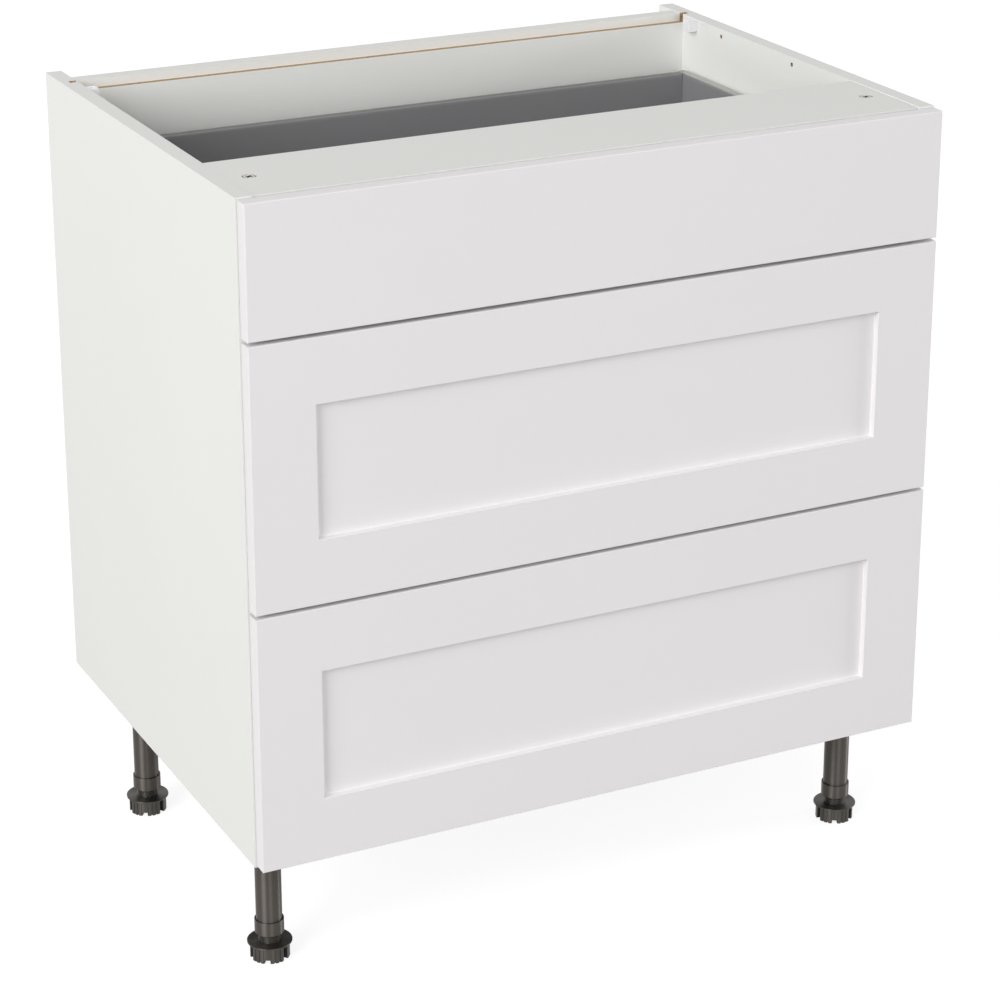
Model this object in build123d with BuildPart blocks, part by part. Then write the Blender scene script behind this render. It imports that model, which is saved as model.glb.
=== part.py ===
from build123d import *

import os

os.makedirs("parts", exist_ok=True)

# Kitchen base cabinet with one shallow and two deep drawers, on four screw feet. Millimetres.
# X runs along the fronts, the user stands on the -Y side and +Z is up.
# The origin is on the floor, under the middle of the closed cabinet.

# Boards of the carcass
cabinet_width = 800
cabinet_height = 720  # boards only, without the legs
cabinet_depth = 565  # boards only, without the fronts
leg_height = 150
board = 18

# Back panel and its grooves
back_board = 8
back_setback = 507  # front edges of the boards to the face of the back panel
back_top_drop = 10
groove_depth = 9
groove_play = 0.1
groove_end_play = 0.5

# Rails under the worktop
front_rail_depth = 131
front_rail_setback = 2
back_rail_height = 100
rail_drop = 0.5  # upper edges of the rails below those of the side panels

# Drawer fronts
front_board = 18
front_standoff = 1
side_reveal = 1.5
top_reveal = 1.5
bottom_reveal = 2.5
front_spacing = 4
shallow_front_height = 140
frame_width = 70
recess_depth = 6.5
slab_round = 2
frame_round = 0.8

# Drawer boxes: double walled steel sides and back round a board floor
box_side_gap = 3
box_setback = 2  # front edges of the boards to the drawer sides
box_rear_gap = 17  # drawer box to the back panel
box_wall = 12.5
box_sheet = 1
box_top_bevel = 0.8
seam_width = 1.2
seam_depth = 0.5
shallow_side_height = 54
deep_side_height = 178
floor_board = 16
floor_flange = 24.5
floor_play = 0.3

# Front brackets, which plug into the hollow drawer sides
bracket_margin = 1
tongue_inset = 16
tongue_length = 30
tongue_play = 0.3

# Runners under the drawer sides
shallow_runner_lift = -3  # lower edge of the front to the underside of its runner
deep_runner_lift = 17.5
runner_steel = 1.5
runner_height = 26
runner_web_height = 24
runner_setback = 3
runner_rear_gap = 14  # cabinet member to the back panel
slide_inset = 11.5  # side panel to the middle member
slide_width = 19
slide_play = 0.4
slide_setback = 6
slide_rear_gap = 21  # middle and drawer members to the back panel
lip_gap = 1

# Cam fittings and dowels; those that the boards hide are drawn with a few flats
hidden_side_count = 8
cam_diameter = 15
cam_sink = 0.3
cam_setback = 24  # end of the board to the axis of the cam
cam_play = 0.1
cam_bore_depth = 13
cam_cross_length = 8
cam_cross_width = 1.4
cam_cross_depth = 1.6
cam_mouth = 7
bolt_thread = 5
bolt_bite = 10
bolt_end_play = 0.5
bolt_shank = 6.4
bolt_neck = 3.6
bolt_neck_length = 4
bolt_head_length = 4
bolt_reach = 2  # past the axis of the cam
bolt_bore = 8
bottom_cam_rows = (150, 380)
dowel_diameter = 8
dowel_length = 30
dowel_in_panel = 11
dowel_end_play = 1
bottom_dowel_rows = (30, 490)
front_rail_dowel_spread = 90
back_rail_dowel_spread = 70

# Worktop fixing: two plastic blocks and a pair of open holes in each side panel
block_width = 12
block_depth = 14
block_height = 14
block_setback = 472
block_bevel = 1
block_hole = 4.5
fixing_hole = 5
fixing_hole_depth = 12
fixing_hole_drop = 9
fixing_hole_rows = (258, 416)

# Legs
leg_inset = 42
front_leg_row = 72
rear_leg_row = 450
socket_plate = 3
socket_plate_width = 64
socket_plate_depth = 58
socket_plate_shift = 7  # plate reaches further under the cabinet than under the side panel
socket_plate_bevel = 8
socket_boss = 38
socket_boss_bevel = 8
socket_height = 26
socket_side_count = 24
tube_diameter = 28.5
tube_bore = 25
tube_play = 0.1
collar_diameter = 32
collar_height = 16
thread_side_count = 24  # the threads are drawn as plain prisms
stem_play = 0.3
stem_length = 50
stem_show = 10
flange_diameter = 49
flange_thickness = 2
ring_diameter = 43
ring_side_count = 18
ring_wall = 3
ring_height = 17.5
ring_slot = 6.5
ring_notch = 6.2
ring_notch_height = 4

# Places that follow from the sizes above
overall_depth = cabinet_depth + front_standoff + front_board
y_front = front_standoff + front_board - overall_depth / 2
y_front_back = y_front - front_standoff
y_front_face = y_front_back - front_board
y_back_panel = y_front + back_setback
y_back_rail = y_back_panel + back_board
x_outer = cabinet_width / 2
x_inner = x_outer - board
z_bottom = leg_height
z_floor = z_bottom + board
z_top = z_bottom + cabinet_height
z_rail_top = z_top - rail_drop
box_half = x_inner - box_side_gap
box_inner_half = box_half - box_wall
y_box = y_front + box_setback
y_box_end = y_back_panel - box_rear_gap
box_length = y_box_end - y_box
leg_x = x_outer - leg_inset
front_width = cabinet_width - 2 * side_reveal
deep_front_height = (
    cabinet_height - top_reveal - bottom_reveal - shallow_front_height - 2 * front_spacing
) / 2
z_low_front = z_bottom + bottom_reveal
z_mid_front = z_low_front + deep_front_height + front_spacing
z_high_front = z_mid_front + deep_front_height + front_spacing

# Height of the underside of each drawer box, which lies on its runners
box_levels = {
    "bottom": z_low_front + deep_runner_lift + runner_height,
    "middle": z_mid_front + deep_runner_lift + runner_height,
    "top": z_high_front + shallow_runner_lift + runner_height,
}

# Planes that carry holes: local x and y are written out beside each
left_panel_face = Plane(origin=(-x_inner, 0, 0), x_dir=(0, 1, 0), z_dir=(1, 0, 0))  # Y, Z
left_board_end = Plane(origin=(-x_inner, 0, 0), x_dir=(0, -1, 0), z_dir=(-1, 0, 0))  # -Y, Z
side_section = Plane(origin=(-x_inner, 0, 0), x_dir=(1, 0, 0), z_dir=(0, -1, 0))  # inward, Z


def save(piece, name):
    """Label a finished piece and write it as its own node."""
    piece.part.label = name
    export_step(piece.part, f"parts/{name}.step")


def save_pair(left_piece, name):
    """Write a left hand piece and its mirror image as two nodes."""
    save(left_piece, f"{name}_left")
    with BuildPart() as right_piece:
        mirror(left_piece.part, about=Plane.YZ)
    save(right_piece, f"{name}_right")


def hidden_bore(face, points, diameter, depth):
    """Bore the piece being built for fittings that it hides."""
    with BuildSketch(face) as section:
        with Locations(*points):
            RegularPolygon(diameter / 2, hidden_side_count)
    extrude(section.sketch, amount=-depth, mode=Mode.SUBTRACT)


# Where the boards meet the left side panel: (Y, Z) on its inner face
y_front_rail_middle = y_front + front_rail_setback + front_rail_depth / 2
z_front_rail_middle = z_rail_top - board / 2
y_back_rail_middle = y_back_rail + board / 2
z_back_rail_middle = z_rail_top - back_rail_height / 2
z_bottom_middle = z_bottom + board / 2

bottom_cam_spots = [(y_front + row, z_bottom_middle) for row in bottom_cam_rows]
front_rail_cam_spots = [(y_front_rail_middle, z_front_rail_middle)]
cam_spots = bottom_cam_spots + front_rail_cam_spots

bottom_dowel_spots = [(y_front + row, z_bottom_middle) for row in bottom_dowel_rows]
front_rail_dowel_spots = [
    (y_front_rail_middle + side * front_rail_dowel_spread / 2, z_front_rail_middle)
    for side in (-1, 1)
]
back_rail_dowel_spots = [
    (y_back_rail_middle, z_back_rail_middle + side * back_rail_dowel_spread / 2)
    for side in (-1, 1)
]
dowel_spots = bottom_dowel_spots + front_rail_dowel_spots + back_rail_dowel_spots
fixing_hole_spots = [(y_front + row, z_top - fixing_hole_drop) for row in fixing_hole_rows]

# Side panels
with BuildPart() as side_panel:
    with BuildSketch(left_panel_face):
        with Locations((y_front, z_bottom)):
            Rectangle(cabinet_depth, cabinet_height, align=(Align.MIN, Align.MIN))
    extrude(amount=-board)
    with BuildSketch(left_panel_face):
        with Locations((y_back_panel - groove_play, z_bottom)):
            Rectangle(
                back_board + 2 * groove_play, cabinet_height, align=(Align.MIN, Align.MIN)
            )
    extrude(amount=-groove_depth, mode=Mode.SUBTRACT)
    hidden_bore(left_panel_face, dowel_spots, dowel_diameter, dowel_in_panel + dowel_end_play)
    hidden_bore(left_panel_face, cam_spots, bolt_thread, bolt_bite + bolt_end_play)
    with Locations(*[left_panel_face * Pos(*spot) for spot in fixing_hole_spots]):
        Hole(fixing_hole / 2, fixing_hole_depth)
save_pair(side_panel, "side_panel")


def bore_left_end(cams, dowels):
    """Bore the left end of a board for its cam bolts and dowels, as (Y, Z) spots."""
    board_dowel_depth = dowel_length - dowel_in_panel + dowel_end_play
    if cams:
        hidden_bore(left_board_end, [(-y, z) for y, z in cams], bolt_bore, cam_setback)
    hidden_bore(left_board_end, [(-y, z) for y, z in dowels], dowel_diameter, board_dowel_depth)


cam_x = x_inner - cam_setback
bottom_cams = [
    Plane(origin=(-cam_x, y, z_bottom), x_dir=(-1, 0, 0), z_dir=(0, 0, -1))
    for y, z in bottom_cam_spots
]
front_rail_cams = [
    Plane(origin=(-cam_x, y, z_rail_top), x_dir=(-1, 0, 0), z_dir=(0, 0, 1))
    for y, z in front_rail_cam_spots
]

# Bottom panel and rails: each left half is bored, then mirrored
with BuildPart() as bottom_panel:
    with BuildSketch(Plane.XY.offset(z_bottom)):
        with Locations((-x_inner, y_front)):
            Rectangle(x_inner, cabinet_depth, align=(Align.MIN, Align.MIN))
    extrude(amount=board)
    with BuildSketch(Plane.XY.offset(z_floor)):
        with Locations((-x_inner, y_back_panel - groove_play)):
            Rectangle(x_inner, back_board + 2 * groove_play, align=(Align.MIN, Align.MIN))
    extrude(amount=-groove_depth, mode=Mode.SUBTRACT)
    bore_left_end(bottom_cam_spots, bottom_dowel_spots)
    with Locations(*bottom_cams):
        Hole(cam_diameter / 2 + cam_play, cam_bore_depth)
    mirror(about=Plane.YZ)
save(bottom_panel, "bottom_panel")

with BuildPart() as front_rail:
    with BuildSketch(Plane.XY.offset(z_rail_top)):
        with Locations((-x_inner, y_front + front_rail_setback)):
            Rectangle(x_inner, front_rail_depth, align=(Align.MIN, Align.MIN))
    extrude(amount=-board)
    bore_left_end(front_rail_cam_spots, front_rail_dowel_spots)
    with Locations(*front_rail_cams):
        Hole(cam_diameter / 2 + cam_play, cam_bore_depth)
    mirror(about=Plane.YZ)
save(front_rail, "front_rail")

with BuildPart() as back_rail:
    with BuildSketch(Plane.XZ.offset(-y_back_rail)):
        with Locations((-x_inner, z_rail_top)):
            Rectangle(x_inner, back_rail_height, align=(Align.MIN, Align.MAX))
    extrude(amount=-board)
    bore_left_end([], back_rail_dowel_spots)
    mirror(about=Plane.YZ)
save(back_rail, "back_rail")

# Back panel, in the grooves of the side and bottom panels
groove_reach = groove_depth - groove_end_play
with BuildPart() as back_panel:
    with BuildSketch(Plane.XZ.offset(-y_back_panel)):
        with Locations((0, z_floor - groove_reach)):
            Rectangle(
                2 * (x_inner + groove_reach),
                z_top - back_top_drop - z_floor + groove_reach,
                align=(Align.CENTER, Align.MIN),
            )
    extrude(amount=-back_board)
save(back_panel, "back_panel")

# Cam locks: discs with a cross slot, open underneath where the bolt's head enters
cam_height = cam_bore_depth - cam_sink
mouth_top = cam_sink - board / 2 + cam_mouth / 2
with BuildPart() as cam_locks:
    with Locations(*[cam.offset(-cam_sink) for cam in bottom_cams + front_rail_cams]):
        Cylinder(cam_diameter / 2, cam_height, align=(Align.CENTER, Align.CENTER, Align.MAX))
        for turn in (45, 135):
            Box(
                cam_cross_length,
                cam_cross_width,
                2 * cam_cross_depth,
                rotation=(0, 0, turn),
                mode=Mode.SUBTRACT,
            )
        with Locations((-bolt_reach - cam_play, 0, mouth_top)):
            Box(
                cam_diameter,
                cam_mouth,
                cam_height,
                align=(Align.MIN, Align.CENTER, Align.MAX),
                mode=Mode.SUBTRACT,
            )
    mirror(about=Plane.YZ)
save(cam_locks, "cam_locks")

# Cam bolts: screwed into the side panels, each with a necked head inside its cam
bolt_end = cam_setback + bolt_reach
bolt_head_start = bolt_end - bolt_head_length
bolt_neck_start = bolt_head_start - bolt_neck_length
bolt_steps = (
    (-bolt_bite, 0, bolt_thread),
    (0, bolt_neck_start, bolt_shank),
    (bolt_neck_start, bolt_head_start, bolt_neck),
    (bolt_head_start, bolt_end, bolt_shank),
)
with BuildPart() as cam_bolts:
    for start, end, diameter in bolt_steps:
        with BuildSketch(left_panel_face.offset(start)):
            with Locations(*cam_spots):
                RegularPolygon(diameter / 2, hidden_side_count)
        extrude(amount=end - start)
    mirror(about=Plane.YZ)
save(cam_bolts, "cam_bolts")

with BuildPart() as dowels:
    with BuildSketch(left_panel_face.offset(-dowel_in_panel)):
        with Locations(*dowel_spots):
            RegularPolygon(dowel_diameter / 2, hidden_side_count)
    extrude(amount=dowel_length)
    mirror(about=Plane.YZ)
save(dowels, "dowels")

# Worktop fixing blocks on the side panels
block_y = y_front + block_setback + block_depth / 2
with BuildPart() as worktop_blocks:
    with BuildSketch(Plane.XY.offset(z_rail_top)):
        with Locations((-x_inner, block_y)):
            Rectangle(block_width, block_depth, align=(Align.MIN, Align.CENTER))
    extrude(amount=-block_height)
    inner_edges = worktop_blocks.edges().filter_by(Axis.Z).group_by(Axis.X)[-1]
    chamfer(inner_edges, length=block_bevel)
    with Locations((-x_inner + block_width / 2, block_y, z_rail_top)):
        Hole(block_hole / 2, block_height)
    mirror(about=Plane.YZ)
save(worktop_blocks, "worktop_blocks")

# Leg socket: an oblong plate and a boss that takes the leg tube from below
with BuildPart() as left_socket:
    with BuildSketch(Plane.XY.offset(z_bottom)) as plate:
        with Locations((socket_plate_shift, 0)):
            Rectangle(socket_plate_width, socket_plate_depth)
        chamfer(plate.vertices(), length=socket_plate_bevel)
    extrude(amount=-socket_plate)
    with BuildSketch(Plane.XY.offset(z_bottom)) as boss:
        Rectangle(socket_boss, socket_boss)
        chamfer(boss.vertices(), length=socket_boss_bevel)
    extrude(amount=-socket_height)
    with BuildSketch(Plane.XY.offset(z_bottom - socket_height)):
        RegularPolygon(tube_diameter / 2 + tube_play, socket_side_count, major_radius=False)
    extrude(amount=socket_height - socket_plate, mode=Mode.SUBTRACT)

with BuildPart() as right_socket:
    mirror(left_socket.part, about=Plane.YZ)

# Leg tube with its collar, threaded inside and seated against the plate of the socket
z_flange_top = ring_height + flange_thickness
z_collar = z_flange_top + stem_show
z_tube_top = z_bottom - socket_plate
with BuildPart() as leg_tube:
    with BuildSketch(Plane.XY.offset(z_collar)):
        Circle(tube_diameter / 2)
    extrude(amount=z_tube_top - z_collar)
    with BuildSketch(Plane.XY.offset(z_collar)):
        Circle(collar_diameter / 2)
    extrude(amount=collar_height)
    with BuildSketch(Plane.XY.offset(z_collar)):
        RegularPolygon(tube_bore / 2, thread_side_count)
    extrude(amount=z_tube_top - z_collar, mode=Mode.SUBTRACT)

# Foot: a stem that screws into the tube, a flange, and a slotted ring that stands on the floor
ring_middle = ring_diameter / 2 - ring_wall / 2
with BuildPart() as foot:
    with BuildSketch():
        RegularPolygon(ring_diameter / 2, ring_side_count)
        RegularPolygon(ring_diameter / 2 - ring_wall, ring_side_count, mode=Mode.SUBTRACT)
    extrude(amount=ring_height)
    with BuildSketch(Plane.XY.offset(ring_height)):
        Circle(flange_diameter / 2)
    extrude(amount=flange_thickness)
    with BuildSketch(Plane.XY.offset(z_flange_top)):
        RegularPolygon(tube_bore / 2 - stem_play, thread_side_count)
    extrude(amount=stem_length)
    with BuildSketch():
        with PolarLocations(ring_middle, 3, start_angle=60):
            Rectangle(2 * ring_wall, ring_slot)
    extrude(amount=ring_height, mode=Mode.SUBTRACT)
    with BuildSketch():
        with PolarLocations(ring_middle, 3):
            Rectangle(2 * ring_wall, ring_notch)
    extrude(amount=ring_notch_height, mode=Mode.SUBTRACT)

for row_name, row in (("front", front_leg_row), ("rear", rear_leg_row)):
    for side_name, side, socket in (("left", -1, left_socket), ("right", 1, right_socket)):
        for node, master in (("leg_socket", socket), ("leg_tube", leg_tube), ("foot", foot)):
            with BuildPart() as placed:
                with Locations((side * leg_x, y_front + row)):
                    add(master.part)
            save(placed, f"{node}_{row_name}_{side_name}")


lip_height = (runner_height - 2 * runner_steel - lip_gap) / 2
channel_width = slide_width + 2 * slide_play
slide_middle = slide_inset + slide_width / 2
slide_section = side_section.offset(-(y_front + slide_setback))
slide_length = back_setback - slide_setback - slide_rear_gap
runner_length = back_setback - runner_setback - runner_rear_gap
bracket_reach = y_box - y_front_back


def drawer_front(base, height, framed):
    """A drawer front, with a flat field sunk inside a frame or as a plain slab."""
    with BuildPart() as front:
        with BuildSketch(Plane.XZ.offset(-y_front_back)):
            with Locations((0, base)):
                Rectangle(front_width, height, align=(Align.CENTER, Align.MIN))
        extrude(amount=front_board)
        face = front.faces().sort_by(Axis.Y)[0]
        fillet(face.outer_wire().edges(), radius=frame_round if framed else slab_round)
        if framed:
            with BuildSketch(Plane.XZ.offset(-y_front_face)):
                with Locations((0, base + height / 2)):
                    Rectangle(front_width - 2 * frame_width, height - 2 * frame_width)
            extrude(amount=-recess_depth, mode=Mode.SUBTRACT)
    return front


def steel_wall(section, middle, height):
    """Draw a double walled steel section, bevelled and seamed along its top."""
    with Locations(middle):
        Rectangle(box_wall, height)
    chamfer(section.vertices().group_by(Axis.Y)[-1], length=box_top_bevel)
    with Locations((middle[0], middle[1] + height / 2)):
        Rectangle(seam_width, 2 * seam_depth, mode=Mode.SUBTRACT)
    with Locations(middle):
        Rectangle(box_wall - 2 * box_sheet, height - 2 * box_sheet, mode=Mode.SUBTRACT)


def drawer_side(level, side_height):
    """The left side: a hollow steel wall with a flange that carries the floor board."""
    with BuildPart() as side:
        with BuildSketch(side_section.offset(-y_box)) as section:
            steel_wall(section, (box_side_gap + box_wall / 2, level + side_height / 2), side_height)
            with Locations((box_side_gap + box_wall, level)):
                Rectangle(floor_flange, box_sheet, align=(Align.MIN, Align.MIN))
        extrude(amount=-box_length)
    return side


def drawer_back(level, side_height):
    """The back: a hollow steel wall that stands on the flanges of the two sides."""
    height = side_height - box_sheet
    with BuildPart() as back:
        with BuildSketch(Plane.YZ.offset(floor_play - box_inner_half)) as section:
            steel_wall(section, (y_box_end - box_wall / 2, level + box_sheet + height / 2), height)
        extrude(amount=2 * (box_inner_half - floor_play))
    return back


def drawer_floor(level):
    """The floor board, from the front to the back wall, on the flanges of the sides."""
    with BuildPart() as floor:
        with BuildSketch(Plane.XY.offset(level + box_sheet)):
            with Locations((0, y_front_back)):
                Rectangle(
                    2 * (box_inner_half - floor_play),
                    y_box_end - box_wall - y_front_back,
                    align=(Align.CENTER, Align.MIN),
                )
        extrude(amount=floor_board)
    return floor


def front_brackets(level, side_height):
    """Two brackets on the back of the front, each with a tongue that fits inside a side."""
    middle = (box_side_gap + box_wall / 2, level + side_height / 2)
    with BuildPart() as brackets:
        with BuildSketch(side_section.offset(-y_front_back)):
            with Locations(middle):
                Rectangle(box_wall, side_height - 2 * bracket_margin)
        extrude(amount=-bracket_reach)
        with BuildSketch(side_section.offset(-y_box)):
            with Locations(middle):
                Rectangle(
                    box_wall - 2 * (box_sheet + tongue_play), side_height - 2 * tongue_inset
                )
        extrude(amount=-tongue_length)
        mirror(about=Plane.YZ)
    return brackets


def drawer_rail(level):
    """The left drawer member of a runner: a channel that opens downwards."""
    with BuildPart() as rail:
        with BuildSketch(slide_section):
            with Locations((slide_middle, level)):
                Rectangle(
                    channel_width + 2 * runner_steel,
                    runner_steel + lip_height,
                    align=(Align.CENTER, Align.MAX),
                )
            with Locations((slide_middle, level - runner_steel)):
                Rectangle(
                    channel_width, lip_height, align=(Align.CENTER, Align.MAX), mode=Mode.SUBTRACT
                )
        extrude(amount=-slide_length)
    return rail


def runner_slide(level):
    """The left middle member: a box section that runs between the two channels."""
    slide_height = runner_height - 2 * (runner_steel + slide_play)
    with BuildPart() as slide:
        with BuildSketch(slide_section):
            with Locations((slide_middle, level - runner_height / 2)):
                Rectangle(slide_width, slide_height)
                Rectangle(
                    slide_width - 2 * runner_steel,
                    slide_height - 2 * runner_steel,
                    mode=Mode.SUBTRACT,
                )
        extrude(amount=-slide_length)
    return slide


def runner_base(level):
    """The left cabinet member: a web on the side panel and a channel that opens upwards."""
    bottom = level - runner_height
    channel_end = slide_middle + channel_width / 2 + runner_steel
    with BuildPart() as base:
        with BuildSketch(side_section.offset(-(y_front + runner_setback))):
            with Locations((0, bottom)):
                Rectangle(runner_steel, runner_web_height, align=(Align.MIN, Align.MIN))
                Rectangle(channel_end, runner_steel, align=(Align.MIN, Align.MIN))
            with Locations((slide_middle, bottom + runner_steel)):
                Rectangle(
                    channel_width + 2 * runner_steel, lip_height, align=(Align.CENTER, Align.MIN)
                )
                Rectangle(
                    channel_width, lip_height, align=(Align.CENTER, Align.MIN), mode=Mode.SUBTRACT
                )
        extrude(amount=-runner_length)
    return base


drawers = (
    ("bottom", z_low_front, deep_front_height, deep_side_height, True),
    ("middle", z_mid_front, deep_front_height, deep_side_height, True),
    ("top", z_high_front, shallow_front_height, shallow_side_height, False),
)
for name, base, height, side_height, framed in drawers:
    level = box_levels[name]
    save(drawer_front(base, height, framed), f"front_{name}")
    save(front_brackets(level, side_height), f"front_brackets_{name}")
    save_pair(drawer_side(level, side_height), f"drawer_side_{name}")
    save(drawer_back(level, side_height), f"drawer_back_{name}")
    save(drawer_floor(level), f"drawer_floor_{name}")
    save_pair(drawer_rail(level), f"drawer_rail_{name}")
    save_pair(runner_slide(level), f"runner_slide_{name}")
    save_pair(runner_base(level), f"runner_base_{name}")
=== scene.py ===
import math

import bmesh
import bpy
from mathutils import Matrix, Vector


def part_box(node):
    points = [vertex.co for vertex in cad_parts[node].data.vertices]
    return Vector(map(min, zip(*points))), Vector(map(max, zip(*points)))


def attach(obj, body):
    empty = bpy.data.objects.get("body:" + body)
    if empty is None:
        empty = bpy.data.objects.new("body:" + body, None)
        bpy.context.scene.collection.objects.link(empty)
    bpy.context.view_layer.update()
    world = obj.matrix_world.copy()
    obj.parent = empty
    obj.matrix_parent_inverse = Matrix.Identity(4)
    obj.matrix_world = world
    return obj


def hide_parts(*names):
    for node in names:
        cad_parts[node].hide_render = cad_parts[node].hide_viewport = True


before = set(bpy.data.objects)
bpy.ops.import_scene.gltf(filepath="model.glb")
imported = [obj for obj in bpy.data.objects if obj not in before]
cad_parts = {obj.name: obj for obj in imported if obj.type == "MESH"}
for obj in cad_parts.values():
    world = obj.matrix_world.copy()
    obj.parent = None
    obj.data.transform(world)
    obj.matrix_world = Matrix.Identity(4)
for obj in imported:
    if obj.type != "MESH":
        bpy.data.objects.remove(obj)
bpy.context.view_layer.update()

mm = 0.001
sides = {"left": -1, "right": 1}
drawers = ("bottom", "middle", "top")


# Display colour, 0 to 255, as the linear colour that a shader takes
def shade(red, green, blue):
    channels = []
    for value in (red, green, blue):
        part = value / 255
        channels.append(part / 12.92 if part <= 0.04045 else ((part + 0.055) / 1.055) ** 2.4)
    return (*channels, 1)


def addNode(tree, kind, inputs=None, **settings):
    node = tree.nodes.new("ShaderNode" + kind)
    for key, value in settings.items():
        setattr(node, key, value)
    for key, value in (inputs or {}).items():
        if isinstance(value, bpy.types.NodeSocket):
            tree.links.new(value, node.inputs[key])
        else:
            node.inputs[key].default_value = value
    return node


def mixColor(tree, factor, first, second):
    return addNode(tree, "Mix", {0: factor, 6: first, 7: second}, data_type="RGBA").outputs[2]


def newGroup(name, inputs, outputs):
    tree = bpy.data.node_groups.new(name, "ShaderNodeTree")
    for label, kind, start in inputs:
        socket = tree.interface.new_socket(label, in_out="INPUT", socket_type="NodeSocket" + kind)
        socket.default_value = start
    for label, kind in outputs:
        tree.interface.new_socket(label, in_out="OUTPUT", socket_type="NodeSocket" + kind)
    given = tree.nodes.new("NodeGroupInput").outputs
    result = tree.nodes.new("NodeGroupOutput").inputs
    return tree, given, result


def objectPlace(tree, stretch=(1, 1, 1)):
    place = addNode(tree, "TexCoord").outputs["Object"]
    return addNode(tree, "Mapping", {"Vector": place, "Scale": stretch}).outputs["Vector"]


# Slow drift of a colour's level over a surface
def makeSurfaceTone():
    inputs = [
        ("Color", "Color", (0.8, 0.8, 0.8, 1)),
        ("Scale", "Float", 5),
        ("Spread", "Float", 0.02),
    ]
    tree, given, result = newGroup("surfaceTone", inputs, [("Color", "Color")])
    noise = {"Vector": objectPlace(tree), "Scale": given["Scale"], "Detail": 5}
    cloud = addNode(tree, "TexNoise", noise)
    low = addNode(tree, "Math", {0: 1, 1: given["Spread"]}, operation="SUBTRACT")
    high = addNode(tree, "Math", {0: 1, 1: given["Spread"]}, operation="ADD")
    span = {"Value": cloud.outputs["Fac"], "From Min": 0.3, "From Max": 0.7}
    ends = {"To Min": low.outputs[0], "To Max": high.outputs[0]}
    level = addNode(tree, "MapRange", {**span, **ends})
    scaled = {0: given["Color"], "Scale": level.outputs[0]}
    toned = addNode(tree, "VectorMath", scaled, operation="SCALE")
    tree.links.new(toned.outputs[0], result["Color"])
    return tree


# Gloss that varies softly, as handled and wiped surfaces do
def makeHandledGloss():
    inputs = [("Roughness", "Float", 0.4), ("Spread", "Float", 0.05), ("Scale", "Float", 9)]
    tree, given, result = newGroup("handledGloss", inputs, [("Roughness", "Float")])
    noise = {"Vector": objectPlace(tree), "Scale": given["Scale"], "Detail": 6}
    cloud = addNode(tree, "TexNoise", noise)
    offset = addNode(tree, "Math", {0: cloud.outputs["Fac"], 1: 0.5}, operation="SUBTRACT")
    swing = addNode(tree, "Math", {0: given["Spread"], 1: 4}, operation="MULTIPLY")
    sums = {0: offset.outputs[0], 1: swing.outputs[0], 2: given["Roughness"]}
    level = addNode(tree, "Math", sums, operation="MULTIPLY_ADD", use_clamp=True)
    tree.links.new(level.outputs[0], result["Roughness"])
    return tree


# Fine even texture of lacquer, melamine and moulded plastic
def makeFinePeel():
    tree, given, result = newGroup("finePeel", [("Scale", "Float", 500)], [("Height", "Float")])
    noise = {"Vector": objectPlace(tree), "Scale": given["Scale"], "Detail": 2}
    grain = addNode(tree, "TexNoise", noise)
    tree.links.new(grain.outputs["Fac"], result["Height"])
    return tree


# Thin lines left by rolling or drawing, long in the direction with the small stretch
def makeDrawnLines():
    inputs = [("Stretch", "Vector", (1, 1, 1)), ("Scale", "Float", 300)]
    tree, given, result = newGroup("drawnLines", inputs, [("Height", "Float")])
    place = addNode(tree, "TexCoord").outputs["Object"]
    pulled = addNode(tree, "VectorMath", {0: place, 1: given["Stretch"]}, operation="MULTIPLY")
    noise = {"Vector": pulled.outputs[0], "Scale": given["Scale"], "Detail": 3}
    lines = addNode(tree, "TexNoise", noise)
    tree.links.new(lines.outputs["Fac"], result["Height"])
    return tree


# Where a cut goes below the faced skin of a board: inside its box by more than the skin
def makeRawCore():
    inputs = [("Low", "Vector", (0, 0, 0)), ("High", "Vector", (1, 1, 1)), ("Skin", "Float", 0.0002)]
    tree, given, result = newGroup("rawCore", inputs, [("Mask", "Float")])
    place = addNode(tree, "TexCoord").outputs["Object"]
    above = addNode(tree, "VectorMath", {0: place, 1: given["Low"]}, operation="SUBTRACT")
    below = addNode(tree, "VectorMath", {0: given["High"], 1: place}, operation="SUBTRACT")
    sums = {0: above.outputs[0], 1: below.outputs[0]}
    nearest = addNode(tree, "VectorMath", sums, operation="MINIMUM")
    axes = addNode(tree, "SeparateXYZ", {0: nearest.outputs[0]})
    least = addNode(tree, "Math", {0: axes.outputs[0], 1: axes.outputs[1]}, operation="MINIMUM")
    least = addNode(tree, "Math", {0: least.outputs[0], 1: axes.outputs[2]}, operation="MINIMUM")
    mask = addNode(tree, "Math", {0: least.outputs[0], 1: given["Skin"]}, operation="GREATER_THAN")
    tree.links.new(mask.outputs[0], result["Mask"])
    return tree


# Pressed wood fibres and flakes of a cut board
def makePressedWood():
    inputs = [
        ("Light", "Color", (0.5, 0.4, 0.3, 1)),
        ("Dark", "Color", (0.3, 0.2, 0.1, 1)),
        ("Scale", "Float", 900),
    ]
    tree, given, result = newGroup("pressedWood", inputs, [("Color", "Color"), ("Height", "Float")])
    place = objectPlace(tree, (0.35, 0.6, 1))
    flakes = addNode(tree, "TexNoise", {"Vector": place, "Scale": given["Scale"], "Detail": 4})
    span = {"Value": flakes.outputs["Fac"], "From Min": 0.35, "From Max": 0.65}
    spread = addNode(tree, "MapRange", span)
    color = mixColor(tree, spread.outputs[0], given["Dark"], given["Light"])
    tree.links.new(color, result["Color"])
    tree.links.new(flakes.outputs["Fac"], result["Height"])
    return tree


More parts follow.
